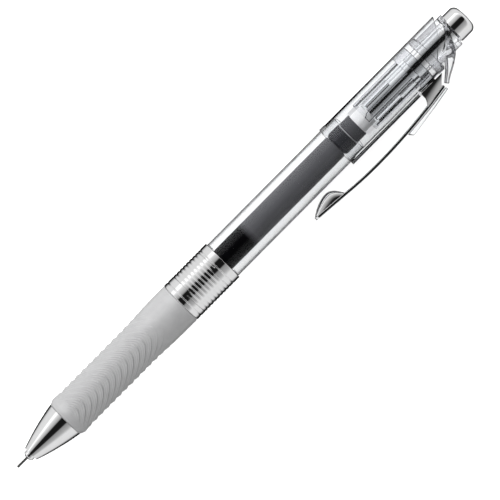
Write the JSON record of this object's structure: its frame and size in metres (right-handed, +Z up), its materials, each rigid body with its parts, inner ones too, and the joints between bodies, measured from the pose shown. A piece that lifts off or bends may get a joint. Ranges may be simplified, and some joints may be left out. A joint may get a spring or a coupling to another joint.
{
  "type": "retractable gel pen",
  "caption": "Clear click-action gel pen with a metal nose and clip, a rubber grip in relief, a ribbed ring and a needle-point refill that moves in and out.",
  "frame": {"origin": "centre of the pen's box on the surface that it lies on, half way between the ball and the end of the button", "axes": "+X from the writing point to the push button, +Z up, the clip reaches towards -Y"},
  "size_m": [0.144, 0.0162, 0.0107],
  "materials": {
    "chrome_nose": "bright plated",
    "rubber_grip": "satin, moulded relief",
    "white_plastic": "satin",
    "chrome_ring": "bright plated",
    "clear_plastic": "clear, polished",
    "cam_plastic": "translucent",
    "clear_holder": "clear, polished",
    "chrome_clip": "bright plated",
    "chrome_button": "bright plated",
    "plated_plunger": "bright plated plastic",
    "rotor_plastic": "translucent white",
    "ball_metal": "polished carbide",
    "needle_steel": "drawn tube",
    "holder_plastic": "satin",
    "smoke_tube": "smoke translucent",
    "ink_black": "wet",
    "follower_gel": "clear grease",
    "tail_plastic": "satin",
    "spring_steel": "drawn wire"
  },
  "bodies": {
    "root": {"grip_sleeve": "rubber_grip", "grip_core": "white_plastic", "ribbed_ring": "chrome_ring", "clear_barrel": "clear_plastic", "upper_barrel": "clear_plastic", "cam_sleeve": "cam_plastic", "clip_hood": "clear_holder"},
    "nose": {"nose_cone": "chrome_nose"},
    "button": {"push_button": "chrome_button", "plunger": "plated_plunger"},
    "refill": {"needle_tube": "needle_steel", "tip_holder": "holder_plastic", "refill_tube": "smoke_tube", "ink": "ink_black", "ink_follower": "follower_gel", "tail_plug": "tail_plastic", "return_spring": "spring_steel"},
    "rotor": {"rotor": "rotor_plastic"},
    "clip": {"metal_clip": "chrome_clip", "clip_arm": "clear_holder"},
    "ball": {"ball": "ball_metal"}
  },
  "joints": [
    {"name": "button_click", "type": "slide", "parent": "root", "child": "button", "axis": [1, 0, 0], "range_m": [-0.001, 0.0045]},
    {"name": "refill_slide", "type": "slide", "parent": "root", "child": "refill", "axis": [1, 0, 0], "range_m": [-0.001, 0.0045], "deforming": ["return_spring"]},
    {"name": "rotor_turn", "type": "hinge", "parent": "refill", "child": "rotor", "pos_m": [0.038, 0.00275, 0.00537], "axis": [-1, 0, 0], "range_deg": [-10.1, 45.1]},
    {"name": "clip_flex", "type": "hinge", "parent": "root", "child": "clip", "pos_m": [0.0584, -0.00485, 0.00537], "axis": [0, 0, 1], "range_deg": [0, 6], "stiffness_Nm_per_rad": 0.5},
    {"name": "nose_off", "type": "slide", "parent": "root", "child": "nose", "axis": [-1, 0, 0], "range_m": [0, 0.02]},
    {"name": "ball_roll", "type": "hinge", "parent": "refill", "child": "ball", "pos_m": [-0.07175, 0.00275, 0.00537], "axis": [0, 1, 0], "continuous": true}
  ],
  "couplings": [
    {"joint": "refill_slide", "follows": "button_click", "ratio": 1},
    {"joint": "rotor_turn", "follows": "button_click", "rad_per_m": 174.53}
  ]
}
